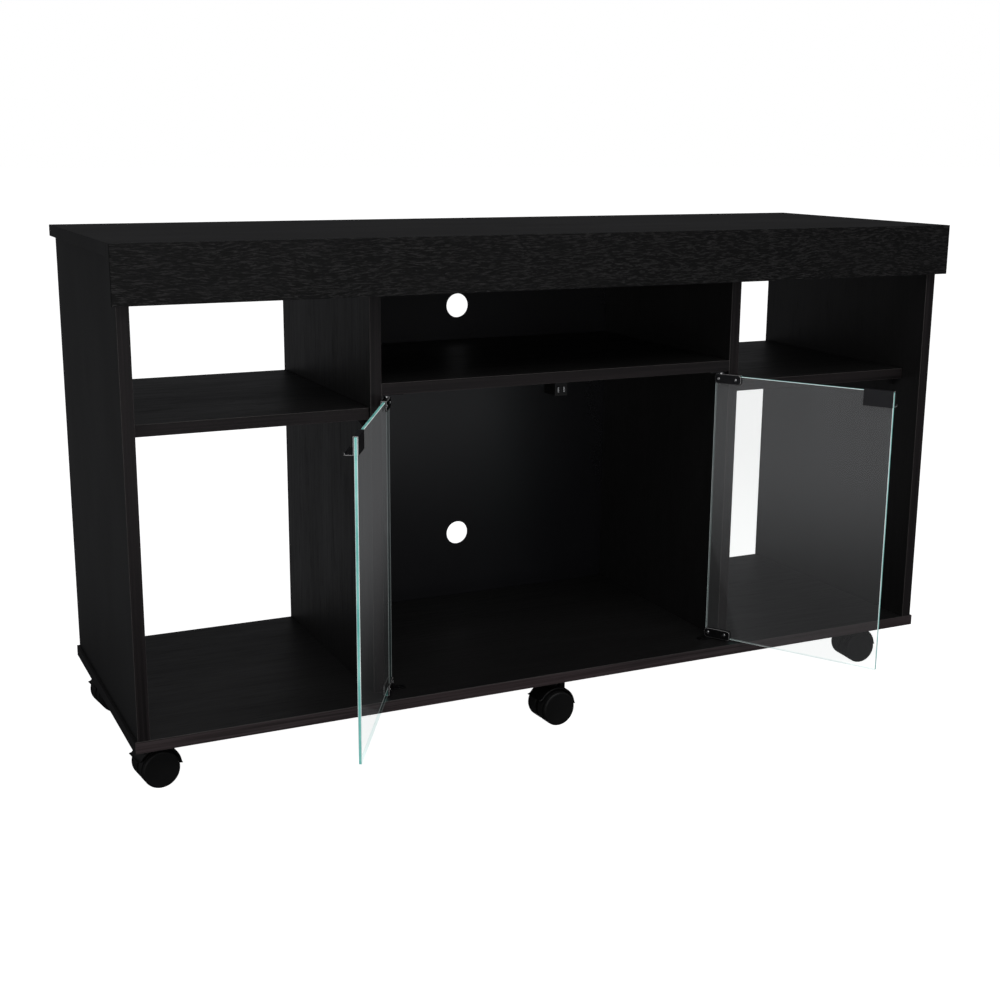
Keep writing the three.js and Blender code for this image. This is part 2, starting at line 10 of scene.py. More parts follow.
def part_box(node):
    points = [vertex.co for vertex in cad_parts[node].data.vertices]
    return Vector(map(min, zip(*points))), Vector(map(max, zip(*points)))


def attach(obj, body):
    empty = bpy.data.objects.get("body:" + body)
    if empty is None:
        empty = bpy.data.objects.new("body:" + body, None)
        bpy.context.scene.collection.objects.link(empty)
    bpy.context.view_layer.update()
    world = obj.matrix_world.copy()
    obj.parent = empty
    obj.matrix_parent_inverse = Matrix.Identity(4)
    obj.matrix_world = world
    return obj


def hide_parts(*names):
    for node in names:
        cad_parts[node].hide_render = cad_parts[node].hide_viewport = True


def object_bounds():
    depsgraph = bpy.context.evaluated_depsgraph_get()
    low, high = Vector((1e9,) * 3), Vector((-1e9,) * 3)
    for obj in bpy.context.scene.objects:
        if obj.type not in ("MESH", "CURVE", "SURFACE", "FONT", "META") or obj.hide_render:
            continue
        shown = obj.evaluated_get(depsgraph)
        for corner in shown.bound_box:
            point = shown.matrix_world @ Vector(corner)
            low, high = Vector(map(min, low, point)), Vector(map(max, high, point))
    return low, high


# Looks of a low media cabinet on casters: black woodgrain boards with edge bands, a pair of
# glass doors on clamped pivot hinges, strike clips and a catch, and twin-wheel casters.
# Metres, +Z up, -Y to the front. Places and outer sizes come from the frame.

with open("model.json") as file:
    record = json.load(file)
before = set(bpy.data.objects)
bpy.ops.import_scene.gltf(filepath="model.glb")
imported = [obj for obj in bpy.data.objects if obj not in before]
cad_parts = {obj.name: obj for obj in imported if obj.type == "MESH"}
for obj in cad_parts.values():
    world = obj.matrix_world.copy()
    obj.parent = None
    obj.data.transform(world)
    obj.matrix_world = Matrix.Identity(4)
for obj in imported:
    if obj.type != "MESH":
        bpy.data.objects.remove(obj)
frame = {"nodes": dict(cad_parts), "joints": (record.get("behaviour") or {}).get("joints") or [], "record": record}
cad_low, cad_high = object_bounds()

MM = 0.001
scene = bpy.context.scene
joints = {joint["name"]: joint for joint in frame["joints"]}

# ---------------------------------------------------------------- sizes of the finish

BAND = 0.8 * MM  # thickness of the edge bands
BAND_ROUND = 0.375 * MM
BOARD_ROUND = 0.3 * MM
PANE_ARRIS = 0.6 * MM  # chamfer round the glass
FINE = 0.25 * MM  # rounding of thin sheet metal
CABLE_HOLE_RADIUS = 18.2 * MM
SCREW_HOLE_RADIUS = 3.6 * MM  # clearance round the back sheet's screw heads
SHARP = math.radians(50)  # sharper bends than this stay crisp
UPRIGHT = Matrix(((1, 0, 0, 0), (0, 0, 1, 0), (0, 1, 0, 0), (0, 0, 0, 1)))  # stands a flat outline up

# ---------------------------------------------------------------- nodes written as arithmetic


class Wire:
    """A node's output in arithmetic: each operation adds a Math node."""

    def __init__(self, nodes, socket):
        self.nodes = nodes
        self.socket = socket

    def maths(self, operation, *values):
        return self.nodes.maths(operation, *values)

    def __add__(self, other):
        return self.maths("ADD", self, other)

    def __sub__(self, other):
        return self.maths("SUBTRACT", self, other)

    def __mul__(self, other):
        return self.maths("MULTIPLY", self, other)

    def __rsub__(self, other):
        return self.maths("SUBTRACT", other, self)

    __radd__ = __add__
    __rmul__ = __mul__


class Nodes:
    """Adds nodes to a tree."""

    def __init__(self, tree):
        self.tree = tree
        tree.nodes.clear()

    def add(self, kind, settings=None, inputs=None, output=0):
        """A node of this kind: its settings first, then the values or links of its sockets."""
        made = self.tree.nodes.new(kind)
        for key, value in (settings or {}).items():
            setattr(made, key, value)
        for key, value in (inputs or {}).items():
            if isinstance(value, Wire):
                self.tree.links.new(value.socket, made.inputs[key])
            else:
                made.inputs[key].default_value = value
        return Wire(self, made.outputs[output]) if len(made.outputs) else made

    def maths(self, operation, *values):
        return self.add("ShaderNodeMath", {"operation": operation}, dict(enumerate(values)))

    def part(self, vector, index):
        """One of a vector's three coordinates."""
        return self.add("ShaderNodeSeparateXYZ", {}, {"Vector": vector}, index)

    def places(self, scale):
        """The piece's own coordinates, drawn out or squeezed along each axis."""
        own = self.add("ShaderNodeTexCoord", output="Object")
        return self.add("ShaderNodeMapping", {}, {"Vector": own, "Scale": scale})

    def noise(self, places, scale=1.0, detail=3.0, roughness=0.55, distortion=0.0):
        return self.add("ShaderNodeTexNoise", {}, {
            "Vector": places, "Scale": scale, "Detail": detail, "Roughness": roughness,
            "Distortion": distortion})

    def step(self, value, low, high):
        """0 below low, 1 above high, and a smooth rise between."""
        return self.add("ShaderNodeMapRange", {"interpolation_type": "SMOOTHSTEP"}, {
            "Value": value, "From Min": low, "From Max": high})

    def tint(self, amount, none, full):
        """A colour between none and full."""
        return self.add("ShaderNodeMix", {"data_type": "RGBA"}, {0: amount, 6: none, 7: full}, 2)

    def bump(self, height, distance, strength=1.0):
        return self.add("ShaderNodeBump", {}, {
            "Height": height, "Distance": distance, "Strength": strength})

    def surface(self, inputs):
        shader = self.add("ShaderNodeBsdfPrincipled", {}, inputs)
        self.add("ShaderNodeOutputMaterial", {}, {"Surface": shader})


def finish(name, build):
    """A material made by build(nodes)."""
    material = bpy.data.materials.new(name)
    material.use_nodes = True
    build(Nodes(material.node_tree))
    return material


def grey(value, red=1.0, blue=1.0):
    return (value * red, value, value * blue, 1.0)


# ---------------------------------------------------------------- finishes of the boards


def stretched(axis, along, across):
    """Coordinate scale of a grain that runs along one axis."""
    return tuple(along if name == axis else across for name in "xyz")


def woodgrain(nodes, axis, base=0.0155, contrast=0.6):
    """Printed black woodgrain with fine pressed pores."""
    wander = nodes.noise(nodes.places(stretched(axis, 3, 16)), 1.0, 2.0)
    pores = nodes.noise(nodes.places(stretched(axis, 22, 620)), 1.0, 2.0, 0.6, 0.15)
    fibres = nodes.noise(nodes.places(stretched(axis, 9, 190)), 1.0, 4.0, 0.6)
    pore = nodes.step(pores, 0.56, 0.68)
    fibre = nodes.step(fibres, 0.35, 0.68)
    cloud = nodes.step(wander, 0.3, 0.72)
    tone = nodes.tint(fibre * contrast, grey(base * 0.80, 1.06), grey(base * 1.30, 1.02))
    tone = nodes.tint(cloud * 0.35, tone, grey(base * 1.5, 1.03))
    tone = nodes.tint(pore * 0.42 * contrast, tone, grey(base * 0.45))
    nodes.surface({
        "Base Color": tone,
        "Roughness": 0.42 + fibre * 0.07 + pore * 0.14 - cloud * 0.05,
        "Specular IOR Level": 0.45,
        "Normal": nodes.bump(fibre * 0.35 - pore, 0.06 * MM)})


def embossed(nodes):
    """Deep pressed oak grain along x: short wavy ridges, their crests painted lighter as a painted highlight and
    their hollows painted dark as painted shade.
    """
    sway = nodes.noise(nodes.places((5, 9, 9)), 1.0, 2.0)
    own = nodes.add("ShaderNodeTexCoord", output="Object")
    drift = nodes.add("ShaderNodeCombineXYZ", {}, {"Z": (sway - 0.5) * 0.030})
    bent = nodes.add("ShaderNodeVectorMath", {"operation": "ADD"}, {0: own, 1: drift})
    coarse = nodes.add("ShaderNodeMapping", {}, {"Vector": bent, "Scale": (95, 600, 660)})
    fine = nodes.add("ShaderNodeMapping", {}, {"Vector": bent, "Scale": (220, 1200, 1700)})
    ridge = nodes.step(nodes.noise(coarse, 1.0, 2.5, 0.55, 0.5), 0.46, 0.66)
    hair = nodes.step(nodes.noise(fine, 1.0, 2.0, 0.6), 0.45, 0.65)
    patch = nodes.step(nodes.noise(nodes.places((7, 20, 26))), 0.35, 0.7)
    # crests painted light and hollows painted dark: painted highlight and shade of the ridges
    crest = ridge * (0.5 + hair * 0.5)
    tone = nodes.tint(crest, grey(0.0020, 1.04), grey(0.0520, 1.04))
    tone = nodes.tint(patch * 0.25, tone, grey(0.0115, 1.04))
    nodes.surface({
        "Base Color": tone,
        "Roughness": 0.52 - crest * 0.14,
        "Specular IOR Level": 0.32,
        "Normal": nodes.bump(ridge * 0.8 + hair * 0.2, 0.40 * MM)})


def plain_laminate(nodes):
    """Plain dark laminate of the sides' outer faces, and of the edges away from the front."""
    cloud = nodes.step(nodes.noise(nodes.places((6, 9, 4)), 1.0, 3.0), 0.3, 0.7)
    speck = nodes.noise(nodes.places((420, 420, 240)), 1.0, 2.0)
    nodes.surface({
        "Base Color": nodes.tint(cloud, grey(0.0062, 1.02), grey(0.0074, 1.02)),
        "Roughness": 0.48 + cloud * 0.04 + speck * 0.05,
        "Specular IOR Level": 0.26,
        "Normal": nodes.bump(speck, 0.02 * MM)})


def top_laminate(nodes):
    """Smooth charcoal laminate with a faint cloudy print."""
    cloud = nodes.step(nodes.noise(nodes.places((4, 9, 9)), 1.0, 3.0), 0.3, 0.7)
    speck = nodes.noise(nodes.places((260, 520, 520)), 1.0, 2.0)
    strand = nodes.step(nodes.noise(nodes.places((7, 120, 120)), 1.0, 3.0), 0.3, 0.7)
    tone = nodes.tint(cloud * 0.6, grey(0.0250, 1.02), grey(0.0280, 1.02))
    tone = nodes.tint(strand * 0.35, tone, grey(0.0300, 1.02))
    nodes.surface({
        "Base Color": tone,
        "Roughness": 0.46 + cloud * 0.06 + speck * 0.06,
        "Specular IOR Level": 0.12,
        "Normal": nodes.bump(speck, 0.02 * MM)})


def edge_band(nodes, axis, painted_lift=1.0):
    """Espresso edge band with a fine lengthwise print; a brightening factor above 1 paints light over the whole
    band.
    """
    lines = nodes.noise(nodes.places(stretched(axis, 4, 420)), 1.0, 3.0, 0.6)
    run = nodes.noise(nodes.places(stretched(axis, 4, 60)), 1.0, 2.0)
    line = nodes.step(lines, 0.36, 0.66)
    warm = nodes.step(run, 0.35, 0.68)
    tone = nodes.tint(line, grey(0.0075 * painted_lift, 1.27, 1.04), grey(0.0205 * painted_lift, 1.27, 1.04))
    tone = nodes.tint(warm * 0.45, tone, grey(0.0165 * painted_lift, 1.42, 1.04))
    nodes.surface({
        "Base Color": tone,
        "Roughness": 0.38 + line * 0.12,
        "Specular IOR Level": 0.42,
        "Normal": nodes.bump(line, 0.03 * MM)})


def band_corner_highlight(nodes):
    """Rounded corner of an edge band, painted pale: a painted highlight along the arris."""
    chatter = nodes.noise(nodes.places((700, 700, 700)), 1.0, 2.0)
    nodes.surface({
        "Base Color": nodes.tint(chatter, grey(0.070, 1.12, 0.96), grey(0.120, 1.10, 0.96)),
        "Roughness": 0.46 + chatter * 0.1,
        "Normal": nodes.bump(chatter, 0.02 * MM)})


def hardboard(nodes):
    """Thin lacquered sheet with a soft orange-peel sheen."""
    cloud = nodes.step(nodes.noise(nodes.places((5, 5, 3)), 1.0, 3.0), 0.3, 0.72)
    peel = nodes.noise(nodes.places((240, 240, 240)), 1.0, 2.0)
    tone = nodes.tint(cloud, grey(0.0078, 1.0, 1.30), grey(0.0116, 1.0, 1.28))
    nodes.surface({
        "Base Color": tone,
        "Roughness": 0.25 + cloud * 0.05 + peel * 0.03,
        "Specular IOR Level": 0.85,
        "Normal": nodes.bump(peel, 0.03 * MM)})


def raw_fibre(nodes):
    """Sawn edge of the hardboard: dark brown pressed fibre."""
    fibre = nodes.noise(nodes.places((900, 900, 900)), 1.0, 4.0)
    tone = nodes.tint(nodes.step(fibre, 0.3, 0.7), (0.022, 0.012, 0.007, 1), (0.060, 0.034, 0.019, 1))
    nodes.surface({"Base Color": tone, "Roughness": 0.85, "Normal": nodes.bump(fibre, 0.2 * MM)})


# ---------------------------------------------------------------- finishes of the hardware


def pane(nodes):
    """Clear thin glass: seen more aslant, it mirrors more. A pale film, part dust and part painted sheen with a
    painted glow, shows more aslant and on the upper part, where the glass passes a little less light.
    """
    smear = nodes.noise(nodes.places((5, 5, 3)), 1.0, 3.0)
    aslant = nodes.add("ShaderNodeFresnel", {}, {"IOR": 1.5})
    clearer_lower = nodes.add("ShaderNodeBsdfTransparent", {}, {"Color": (0.975, 0.982, 0.979, 1)})
    clear = nodes.add("ShaderNodeBsdfTransparent", {}, {"Color": (0.922, 0.927, 0.924, 1)})
    mirror = nodes.add("ShaderNodeBsdfGlossy", {}, {"Color": grey(1.0), "Roughness": 0.0})
    # a pale film that glows of itself: painted light on the glass, with a little random dust
    dust_and_glow_film = nodes.add("ShaderNodeAddShader", {}, {
        0: nodes.add("ShaderNodeBsdfDiffuse", {}, {"Color": grey(0.80, 0.99, 1.01)}),
        1: nodes.add("ShaderNodeEmission", {}, {"Color": grey(1.0, 0.99, 1.03), "Strength": 0.17})})
    mirrored = nodes.maths("MINIMUM", aslant, 0.12) * 0.35
    height = nodes.part(nodes.add("ShaderNodeTexCoord", output="Object"), 2)
    # the upper part takes a thicker film, a painted sheen; the lower part passes a little more light
    upper = nodes.step(height, 0.13, 0.38)
    clear = nodes.add("ShaderNodeMixShader", {}, {0: upper, 1: clearer_lower, 2: clear})
    sheet = nodes.add("ShaderNodeMixShader", {}, {0: mirrored, 1: clear, 2: mirror})
    dust_and_sheen_cover = nodes.step(smear, 0.3, 0.8) * 0.004 + 0.017 + upper * 0.044 + aslant * upper * 0.085
    sheet = nodes.add("ShaderNodeMixShader", {}, {0: dust_and_sheen_cover, 1: sheet, 2: dust_and_glow_film})
    nodes.add("ShaderNodeOutputMaterial", {}, {"Surface": sheet})


def pane_edge(nodes, low, high, glow, through):
    """Ground and polished glass edge, with a painted glow in place of the light the sheet carries to it;
    see-through from inside.
    """
    ripple = nodes.noise(nodes.places((60, 60, 22)), 1.0, 3.0)
    streak = nodes.step(ripple, 0.3, 0.75)
    tone = nodes.tint(streak, low, high)
    polished = nodes.add("ShaderNodeBsdfPrincipled", {}, {
        "Base Color": tone,
        "Roughness": 0.16 + streak * 0.1,
        # the edge glows of itself: painted light
        "Emission Color": tone,
        "Emission Strength": glow,
        "Coat Weight": 0.5,
        "Normal": nodes.bump(ripple, 0.05 * MM)})
    clear = nodes.add("ShaderNodeBsdfTransparent", {}, {"Color": (0.78, 0.88, 0.87, 1)})
    inside = nodes.add("ShaderNodeNewGeometry", output="Backfacing")
    sheet = nodes.add("ShaderNodeMixShader", {}, {0: inside * through, 1: polished, 2: clear})
    nodes.add("ShaderNodeOutputMaterial", {}, {"Surface": sheet})


def pane_core(nodes):
    pane_edge(nodes, (0.10, 0.40, 0.36, 1), (0.24, 0.60, 0.55, 1), 0.62, 0.985)


def pane_arris(nodes):
    pane_edge(nodes, (0.66, 0.80, 0.79, 1), (0.90, 0.96, 0.95, 1), 0.62, 0.80)


def plated(nodes, low, high, roughness, distance=0.02):
    """Barrel-plated metal with soft handling marks."""
    cloud = nodes.step(nodes.noise(nodes.places((60, 60, 60)), 1.0, 3.0), 0.2, 0.8)
    grit = nodes.noise(nodes.places((1400, 1400, 1400)), 1.0, 2.0)
    nodes.surface({
        "Base Color": nodes.tint(cloud, low, high),
        "Metallic": 1.0,
        "Roughness": roughness + cloud * 0.05 + grit * 0.05,
        "Normal": nodes.bump(grit, distance * MM)})


def black_plate(nodes):
    """Dark plating with a soft even sheen."""
    plated(nodes, grey(0.055, 1.0, 1.06), grey(0.080, 1.0, 1.05), 0.30)


def bright_plate(nodes):
    plated(nodes, grey(0.52), grey(0.72), 0.18)


def smoked_plate(nodes):
    plated(nodes, grey(0.26), grey(0.38), 0.24)


def cut_ends_and_highlight(nodes):
    """Pale steel with fine shear marks: the clips' bare sheared ends, and a painted highlight on the clamps'
    rounded arrises.
    """
    marks = nodes.noise(nodes.places((300, 300, 2600)), 1.0, 2.0)
    nodes.surface({
        "Base Color": nodes.tint(marks, grey(0.42, 1.02), grey(0.62, 1.01)),
        "Metallic": 0.25,
        "Roughness": 0.34 + marks * 0.1,
        "Normal": nodes.bump(marks, 0.02 * MM)})


def painted_sheet(nodes):
    """Thin sheet with a smooth grey-black stove enamel."""
    cloud = nodes.step(nodes.noise(nodes.places((25, 25, 25)), 1.0, 3.0), 0.2, 0.8)
    peel = nodes.noise(nodes.places((900, 900, 900)), 1.0, 2.0)
    nodes.surface({
        "Base Color": nodes.tint(cloud, grey(0.0300, 1.0, 1.12), grey(0.0370, 1.0, 1.10)),
        "Roughness": 0.34 + cloud * 0.05 + peel * 0.04,
        "Specular IOR Level": 0.55,
        "Normal": nodes.bump(peel, 0.01 * MM)})


def moulded(nodes, base, roughness, spread):
    """Black moulded plastic with a fine spark-eroded texture."""
    grain = nodes.noise(nodes.places((1500, 1500, 1500)), 1.0, 2.0)
    cloud = nodes.step(nodes.noise(nodes.places((35, 35, 35)), 1.0, 3.0), 0.3, 0.7)
    scuff = nodes.step(nodes.noise(nodes.places((160, 160, 420)), 1.0, 4.0, 0.7), 0.60, 0.74)
    tone = nodes.tint(cloud, grey(base * 0.85), grey(base * 1.15))
    tone = nodes.tint(scuff * 0.35, tone, grey(base * 2.2))
    nodes.surface({
        "Base Color": tone,
        "Roughness": roughness + cloud * spread + scuff * 0.12,
        "Specular IOR Level": 0.45,
        "Normal": nodes.bump(grain, 0.03 * MM)})


def rubber(nodes):
    grain = nodes.noise(nodes.places((700, 700, 700)), 1.0, 3.0)
    nodes.surface({
        "Base Color": nodes.tint(grain, grey(0.010), grey(0.022)),
        "Roughness": 0.65 + grain * 0.15,
        "Normal": nodes.bump(grain, 0.05 * MM)})


GRAIN = {
    "x": finish("black_woodgrain_flat", lambda n: woodgrain(n, "x", contrast=0.22)),
    "z": finish("black_woodgrain_upright", lambda n: woodgrain(n, "z"))}
BANDS = {
    "x": finish("espresso_edge_band_x", lambda n: edge_band(n, "x")),
    "z": finish("espresso_edge_band_z", lambda n: edge_band(n, "z"))}
# a copy of the band painted 4.4 times brighter: painted light from the floor below
FLOOR_LIT_BAND = finish("espresso_edge_band_painted_floor_light", lambda n: edge_band(n, "x", 4.4))
BAND_CORNER_HIGHLIGHT = finish("band_corner_painted_highlight", band_corner_highlight)
EMBOSSED = finish("embossed_black_oak", embossed)
TOP = finish("charcoal_top_laminate", top_laminate)
PLAIN = finish("plain_dark_laminate", plain_laminate)
HARDBOARD = finish("lacquered_hardboard", hardboard)
RAW_FIBRE = finish("sawn_hardboard_edge", raw_fibre)
PANE = finish("clear_pane", pane)
PANE_CORE = finish("pane_edge_painted_glow", pane_core)
PANE_BEVEL = finish("pane_arris_painted_glow", pane_arris)
BLACK_PLATE = finish("black_nickel_plate", black_plate)
BRIGHT_PLATE = finish("bright_zinc_plate", bright_plate)
SMOKED_PLATE = finish("smoked_zinc_plate", smoked_plate)
PAINTED_SHEET = finish("enamelled_sheet", painted_sheet)
CUT_ENDS_AND_HIGHLIGHT = finish("cut_ends_and_painted_highlight", cut_ends_and_highlight)
BLACK_PLASTIC = finish("black_moulded_plastic", lambda n: moulded(n, 0.010, 0.42, 0.10))
HOOD_PLASTIC = finish("gloss_black_hood_plastic", lambda n: moulded(n, 0.008, 0.28, 0.10))
WHEEL_PLASTIC = finish("dark_grey_wheel_plastic", lambda n: moulded(n, 0.008, 0.50, 0.08))
RUBBER = finish("black_rubber_liner", rubber)

# ---------------------------------------------------------------- mesh helpers


def box_into(work, low, high, rounding=0.0, steps=1, rim_index=0):
    """Adds a block between two corners, its edges rounded and given the rim's finish."""
    low, high = Vector(low), Vector(high)
    size = high - low
    place = Matrix.Translation((low + high) / 2) @ Matrix.Diagonal((*size, 1))
    made = bmesh.ops.create_cube(work, size=1, matrix=place)["verts"]
    if rounding:
        edges = list({edge for vert in made for edge in vert.link_edges})
        rims = bmesh.ops.bevel(work, geom=edges, offset=rounding, segments=steps, profile=0.5,
                               affect="EDGES", clamp_overlap=True)["faces"]
        for face in rims:
            face.material_index = rim_index


def extrude_into(work, loops, low, high, place=Matrix.Identity(4)):
    """Adds flat outlines (an outer one, then any holes) drawn out along z from low to high."""
    flat = [Vector((*point, 0)) for loop in loops for point in loop]
    bottom = [work.verts.new(place @ (point + Vector((0, 0, low)))) for point in flat]
    top = [work.verts.new(place @ (point + Vector((0, 0, high)))) for point in flat]
    faces = []
    if len(loops) == 1:
        faces += [work.faces.new(top), work.faces.new(bottom[::-1])]
    else:
        for triangle in tessellate_polygon([[Vector((*p, 0)) for p in loop] for loop in loops]):
            faces.append(work.faces.new([top[i] for i in triangle]))
            faces.append(work.faces.new([bottom[i] for i in reversed(triangle)]))
    start = 0
    for loop in loops:
        for i in range(len(loop)):
            a, b = start + i, start + (i + 1) % len(loop)
            faces.append(work.faces.new((bottom[a], bottom[b], top[b], top[a])))
        start += len(loop)
    bmesh.ops.recalc_face_normals(work, faces=faces)


def lathe_into(work, profile, place=Matrix.Identity(4), sides=64):
    """Adds a closed profile of (radius, height) points turned round the z axis of its place."""
    rings = []
    for radius, height in profile:
        if radius == 0:
            rings.append([work.verts.new(place @ Vector((0, 0, height)))])
            continue
        turns = [2 * math.pi * i / sides for i in range(sides)]
        rings.append([
            work.verts.new(place @ Vector((radius * math.cos(t), radius * math.sin(t), height)))
            for t in turns])
    faces = []
    for one, other in zip(rings, rings[1:]):
        for i in range(sides):
            j = (i + 1) % sides
            corners = [one[i % len(one)], one[j % len(one)], other[j % len(other)], other[i % len(other)]]
            corners = list(dict.fromkeys(corners))
            if len(corners) > 2:
                faces.append(work.faces.new(corners))
    bmesh.ops.recalc_face_normals(work, faces=faces)


def arc(centre, radius, start, end, steps):
    """Points on an arc, its angles in degrees."""
    turns = [math.radians(start + (end - start) * i / steps) for i in range(steps + 1)]
    return [(centre[0] + radius * math.cos(t), centre[1] + radius * math.sin(t)) for t in turns]


def rounded_outline(low, high, radius, steps=6):
    """A rectangle in a plane with rounded corners, anticlockwise."""
    corners = [(high[0], low[1], -90), (high[0], high[1], 0), (low[0], high[1], 90), (low[0], low[1], 180)]
    points = []
    for x, y, start in corners:
        centre = (x - math.copysign(radius, x - low[0] - radius),
                  y - math.copysign(radius, y - low[1] - radius))
        points += arc(centre, radius, start, start + 90, steps)
    return points


def piece(name, work, body, finishes, stands_for=(), place=None, rounding=0.0, steps=2, rim=-1):
    """Makes the worked mesh a piece that rides on a body."""
    if place:
        work.transform(place)
    for face in work.faces:
        face.smooth = True
    mesh = bpy.data.meshes.new(name)
    work.to_mesh(mesh)
    work.free()
    return dress(name, mesh, body, finishes, stands_for, rounding, steps, rim)


def dress(name, mesh, body, finishes, stands_for=(), rounding=0.0, steps=2, rim=-1):
    """Gives a mesh its finishes and its crisp or rounded edges, and lets it ride on a body."""
    for one in finishes:
        mesh.materials.append(one)
    mesh.set_sharp_from_angle(angle=SHARP)
    made = bpy.data.objects.new(name, mesh)
    scene.collection.objects.link(made)
    if rounding:
        softened = made.modifiers.new("softened_edges", "BEVEL")
        softened.width, softened.segments = rounding, steps
        softened.material = rim
        softened.limit_method, softened.angle_limit = "ANGLE", math.radians(30)
        softened.use_clamp_overlap = True
    even = made.modifiers.new("even_faces", "WEIGHTED_NORMAL")
    even.keep_sharp = True
    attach(made, body)
    if stands_for:
        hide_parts(*stands_for)
    return made


def cad_copy(node, merge=0.01 * MM):
    """A work mesh of a CAD node, its doubles merged and its flat faces made whole."""
    work = bmesh.new()
    work.from_mesh(frame["nodes"][node].data)
    bmesh.ops.remove_doubles(work, verts=work.verts, dist=merge)
    bmesh.ops.dissolve_limit(work, angle_limit=math.radians(0.5), verts=work.verts, edges=work.edges)
    return work


def local_box(node, place):
    """Lowest and highest corner of a CAD node in the frame of place."""
    back = place.inverted()
    points = [back @ vert.co for vert in frame["nodes"][node].data.vertices]
    return (Vector(map(min, *points)), Vector(map(max, *points)))


# ---------------------------------------------------------------- repeated screw heads


def screw_tree():
    """Geometry nodes: a domed head with a cross recess at each point, turned at random."""
    tree = bpy.data.node_groups.new("screw_heads", "GeometryNodeTree")
    sockets = [
        ("Spots", "NodeSocketGeometry"), ("Head Radius", "NodeSocketFloat"),
        ("Head Height", "NodeSocketFloat"), ("Recess Width", "NodeSocketFloat"),
        ("Recess Depth", "NodeSocketFloat"), ("Seed", "NodeSocketInt"),
        ("Finish", "NodeSocketMaterial")]
    for label, kind in sockets:
        tree.interface.new_socket(label, in_out="INPUT", socket_type=kind)
    tree.interface.new_socket("Heads", in_out="OUTPUT", socket_type="NodeSocketGeometry")
    nodes = Nodes(tree)
    given = nodes.add("NodeGroupInput").socket.node
    asked = {label: Wire(nodes, given.outputs[label]) for label, _ in sockets}
    radius, height = asked["Head Radius"], asked["Head Height"]
    width, depth = asked["Recess Width"], asked["Recess Depth"]

    def vector(x, y, z):
        return nodes.add("ShaderNodeCombineXYZ", {}, {0: x, 1: y, 2: z})

    ball = nodes.add("GeometryNodeMeshUVSphere", {}, {"Segments": 20, "Rings": 10, "Radius": 1.0})
    dome = nodes.add("GeometryNodeTransform", {}, {
        "Geometry": ball, "Scale": vector(radius, radius, height)})
    wing = nodes.add("GeometryNodeMeshCube", {}, {"Size": vector(radius * 1.15, width, depth * 2)})
    cross = nodes.add("GeometryNodeMeshCube", {}, {"Size": vector(width, radius * 1.15, depth * 2)})
    raised = vector(0.0, 0.0, height)
    wings = [nodes.add("GeometryNodeTransform", {}, {"Geometry": one, "Translation": raised})
             for one in (wing, cross)]
    head = dome
    for one in wings:
        head = nodes.add("GeometryNodeMeshBoolean", {"operation": "DIFFERENCE", "solver": "EXACT"},
                         {"Mesh 1": head, "Mesh 2": one})
    facing = nodes.add("GeometryNodeInputNamedAttribute", {"data_type": "FLOAT_VECTOR"},
                       {"Name": "facing"})
    aimed = nodes.add("FunctionNodeAlignRotationToVector", {"axis": "Z"}, {"Vector": facing})
    spin = nodes.add("FunctionNodeRandomValue", {"data_type": "FLOAT"},
                     {2: 0.0, 3: math.pi, "Seed": asked["Seed"]}, 1)
    own_turn = nodes.add("FunctionNodeAxisAngleToRotation", {}, {
        "Axis": (0, 0, 1), "Angle": spin})
    turned = nodes.add("FunctionNodeRotateRotation", {"rotation_space": "LOCAL"},
                       {"Rotation": aimed, "Rotate By": own_turn})
    placed = nodes.add("GeometryNodeInstanceOnPoints", {}, {
        "Points": asked["Spots"], "Instance": head, "Rotation": turned})
    real = nodes.add("GeometryNodeRealizeInstances", {}, {"Geometry": placed})
    coated = nodes.add("GeometryNodeSetMaterial", {}, {"Geometry": real, "Material": asked["Finish"]})
    nodes.add("NodeGroupOutput", {}, {"Heads": coated})
    return tree


SCREWS = screw_tree()


def screws(name, body, spots, radius, height, coat, seed=1):
    """Screw heads on one body; spots are (place, outward direction) pairs."""
    points = bpy.data.meshes.new(f"{name}_spots")
    points.from_pydata([place for place, _ in spots], [], [])
    facing = points.attributes.new("facing", "FLOAT_VECTOR", "POINT")
    facing.data.foreach_set("vector", [part for _, way in spots for part in way])
    made = bpy.data.objects.new(name, points)
    scene.collection.objects.link(made)
    heads = made.modifiers.new("heads", "NODES")
    heads.node_group = SCREWS
    wanted = {
        "Head Radius": radius, "Head Height": height, "Recess Width": radius * 0.24,
        "Recess Depth": height * 0.55, "Seed": seed, "Finish": coat}
    for item in SCREWS.interface.items_tree:
        if item.in_out == "INPUT" and item.name in wanted:
            heads[item.identifier] = wanted[item.name]
    graph = bpy.context.evaluated_depsgraph_get()
    graph.update()
    mesh = bpy.data.meshes.new_from_object(made.evaluated_get(graph))
    bpy.data.objects.remove(made)
    for face in mesh.polygons:
        face.use_smooth = True
    return dress(name, mesh, body, [] if len(mesh.materials) else [coat])


# ---------------------------------------------------------------- boards and their edge bands

FACES = {  # face of a board: its axis, and 0 for the low side or 1 for the high side
    "left": (0, 0), "right": (0, 1), "front": (1, 0), "rear": (1, 1), "lower": (2, 0), "upper": (2, 1)}


def long_axis(low, high):
    size = high - low
    return "xyz"[max(range(3), key=lambda i: size[i])]


